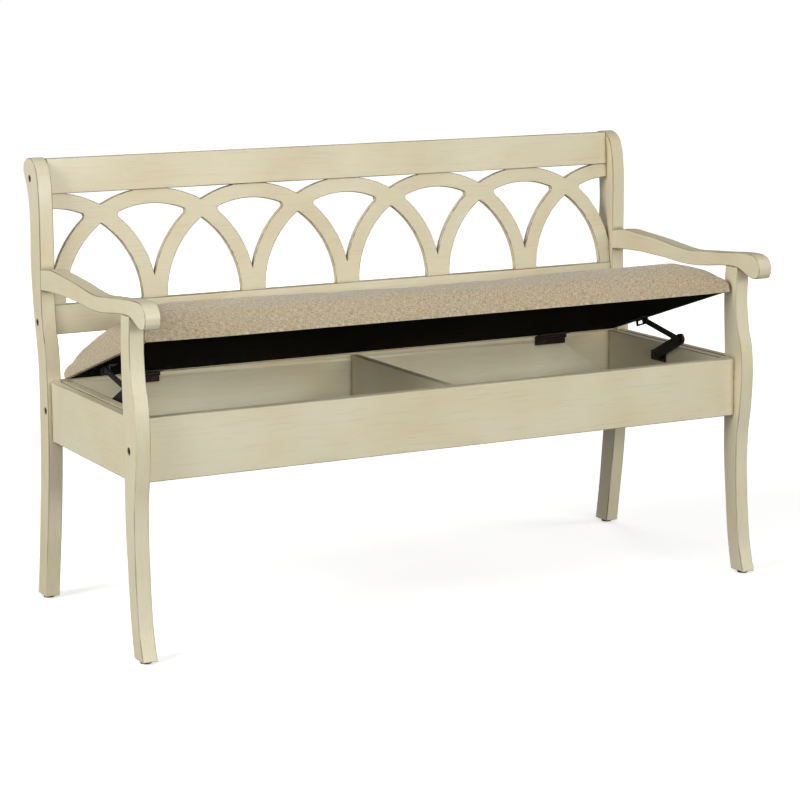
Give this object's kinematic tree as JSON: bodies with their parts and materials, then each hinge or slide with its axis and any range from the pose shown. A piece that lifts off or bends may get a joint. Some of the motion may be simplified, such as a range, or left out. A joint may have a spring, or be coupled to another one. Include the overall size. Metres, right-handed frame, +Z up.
{
  "type": "storage bench",
  "caption": "Wide painted bench with an arched fretwork back, two arms, curved legs and a storage box under a hinged cushioned lid.",
  "frame": {"origin": "on the floor, at the middle of the bench's outline", "axes": "+X to the right along the bench, +Y to the back, +Z up; the front faces -Y"},
  "size_m": [1.32, 0.614, 0.8605],
  "materials": {
    "cream_paint": "satin",
    "bare_wood": "matte",
    "plywood": "matte",
    "linen": "matte",
    "foam": "matte",
    "dust_cloth": "matte",
    "hinge_bronze": "satin",
    "stay_black": "satin",
    "bolt_black": "satin",
    "screw_black": "satin",
    "zinc_steel": "satin",
    "glide_plastic": "satin"
  },
  "bodies": {
    "frame": {"left_back_post": "cream_paint", "right_back_post": "cream_paint", "left_front_leg": "cream_paint", "right_front_leg": "cream_paint", "left_arm": "cream_paint", "right_arm": "cream_paint", "crest_rail": "cream_paint", "arch_panel": "cream_paint", "lower_back_rail": "cream_paint", "front_apron": "cream_paint", "back_apron": "cream_paint", "left_side_apron": "cream_paint", "right_side_apron": "cream_paint", "left_box_side": "cream_paint", "right_box_side": "cream_paint", "center_divider": "cream_paint", "box_bottom": "cream_paint", "bottom_cleats": "bare_wood", "arm_dowels": "bare_wood", "side_apron_dowels": "bare_wood", "rail_dowels": "bare_wood", "connector_bolts": "bolt_black", "insert_nuts": "zinc_steel", "foot_glides": "glide_plastic", "hinge_box_leaves": "hinge_bronze", "hinge_pins": "hinge_bronze", "hinge_box_screws": "screw_black", "left_stay_base": "stay_black", "right_stay_base": "stay_black", "stay_base_screws": "screw_black"},
    "lid": {"seat_board": "plywood", "dust_cover": "dust_cloth", "seat_foam": "foam", "seat_cover": "linen", "hinge_lid_leaves": "hinge_bronze", "hinge_lid_screws": "screw_black", "left_stay_lid_bracket": "stay_black", "right_stay_lid_bracket": "stay_black", "stay_lid_screws": "screw_black"},
    "left_stay_lower": {"left_stay_lower_link": "stay_black"},
    "left_stay_upper": {"left_stay_upper_link": "stay_black"},
    "right_stay_lower": {"right_stay_lower_link": "stay_black"},
    "right_stay_upper": {"right_stay_upper_link": "stay_black"}
  },
  "joints": [
    {"name": "lid_hinge", "type": "hinge", "parent": "frame", "child": "lid", "pos_m": [0, 0.204, 0.433], "axis": [-1, 0, 0], "range_deg": [-17.5, 32.5]},
    {"name": "left_stay_base_pivot", "type": "hinge", "parent": "frame", "child": "left_stay_lower", "pos_m": [0, 0.014, 0.411], "axis": [-1, 0, 0], "range_deg": [-27.2, 50]},
    {"name": "left_stay_elbow", "type": "hinge", "parent": "left_stay_lower", "child": "left_stay_upper", "pos_m": [0, -0.075, 0.456], "axis": [-1, 0, 0], "range_deg": [-54.6, 29.6]},
    {"name": "right_stay_base_pivot", "type": "hinge", "parent": "frame", "child": "right_stay_lower", "pos_m": [0, 0.014, 0.411], "axis": [-1, 0, 0], "range_deg": [-27.2, 50]},
    {"name": "right_stay_elbow", "type": "hinge", "parent": "right_stay_lower", "child": "right_stay_upper", "pos_m": [0, -0.075, 0.456], "axis": [-1, 0, 0], "range_deg": [-54.6, 29.6]}
  ],
  "couplings": [
    {"joint": "left_stay_base_pivot", "follows": "lid_hinge", "ratio": 1.524},
    {"joint": "left_stay_elbow", "follows": "lid_hinge", "ratio": -1.665},
    {"joint": "right_stay_base_pivot", "follows": "lid_hinge", "ratio": 1.524},
    {"joint": "right_stay_elbow", "follows": "lid_hinge", "ratio": -1.665}
  ]
}
